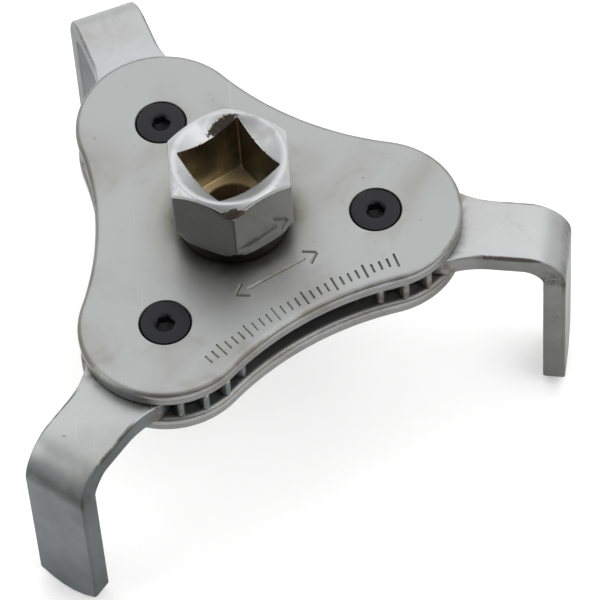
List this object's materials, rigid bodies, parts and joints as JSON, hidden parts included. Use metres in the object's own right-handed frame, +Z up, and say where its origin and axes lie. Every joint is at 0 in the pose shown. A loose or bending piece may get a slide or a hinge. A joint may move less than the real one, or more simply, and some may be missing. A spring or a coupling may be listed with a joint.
{
  "type": "three-jaw oil filter wrench",
  "caption": "Gear-driven two-way oil filter wrench: a square-drive hub turns a gear between two lobed plates and swings bent steel jaws onto the filter.",
  "frame": {"origin": "centre of the flat lower end of the drive hub, on the drive axis", "axes": "+Z up the drive axis, out of the square socket; +X from the drive axis to the pivot of jaw_right; +Y completes a right-handed frame; the legs point down -Z"},
  "size_m": [0.0966, 0.1076, 0.0592],
  "materials": {
    "top_plate": "satin zinc plate, rolled top edge, faint stains",
    "bottom_plate": "satin zinc plate",
    "drive_hub": "polished chrome outside, oil-brown unpolished socket inside",
    "sun_gear": "bare steel, lightly oiled",
    "retaining_ring": "black phosphated spring steel",
    "jaw_right": "satin zinc plate with bending marks",
    "jaw_rear_left": "satin zinc plate with bending marks",
    "jaw_front_left": "satin zinc plate with bending marks",
    "screw_right": "black oxide",
    "screw_rear_left": "black oxide",
    "screw_front_left": "black oxide",
    "spacer_right": "bare turned steel",
    "spacer_rear_left": "bare turned steel",
    "spacer_front_left": "bare turned steel"
  },
  "bodies": {
    "carrier": {"top_plate": "top_plate", "bottom_plate": "bottom_plate", "screw_right": "screw_right", "screw_rear_left": "screw_rear_left", "screw_front_left": "screw_front_left", "spacer_right": "spacer_right", "spacer_rear_left": "spacer_rear_left", "spacer_front_left": "spacer_front_left"},
    "drive": {"drive_hub": "drive_hub", "sun_gear": "sun_gear", "retaining_ring": "retaining_ring"},
    "jaw_right": {"jaw_right": "jaw_right"},
    "jaw_rear_left": {"jaw_rear_left": "jaw_rear_left"},
    "jaw_front_left": {"jaw_front_left": "jaw_front_left"}
  },
  "joints": [
    {"name": "drive_spin", "type": "hinge", "parent": "carrier", "child": "drive", "pos_m": [0, 0, 0], "axis": [0, 0, 1], "range_deg": [-144, 124]},
    {"name": "jaw_right_swing", "type": "hinge", "parent": "carrier", "child": "jaw_right", "pos_m": [0.02475, 0, 0.0057], "axis": [0, 0, 1], "range_deg": [-93, 108]},
    {"name": "jaw_rear_left_swing", "type": "hinge", "parent": "carrier", "child": "jaw_rear_left", "pos_m": [-0.01238, 0.02143, 0.0057], "axis": [0, 0, 1], "range_deg": [-93, 108]},
    {"name": "jaw_front_left_swing", "type": "hinge", "parent": "carrier", "child": "jaw_front_left", "pos_m": [-0.01238, -0.02143, 0.0057], "axis": [0, 0, 1], "range_deg": [-93, 108]}
  ],
  "couplings": [
    {"joint": "jaw_right_swing", "follows": "drive_spin", "ratio": -0.75},
    {"joint": "jaw_rear_left_swing", "follows": "drive_spin", "ratio": -0.75},
    {"joint": "jaw_front_left_swing", "follows": "drive_spin", "ratio": -0.75}
  ]
}
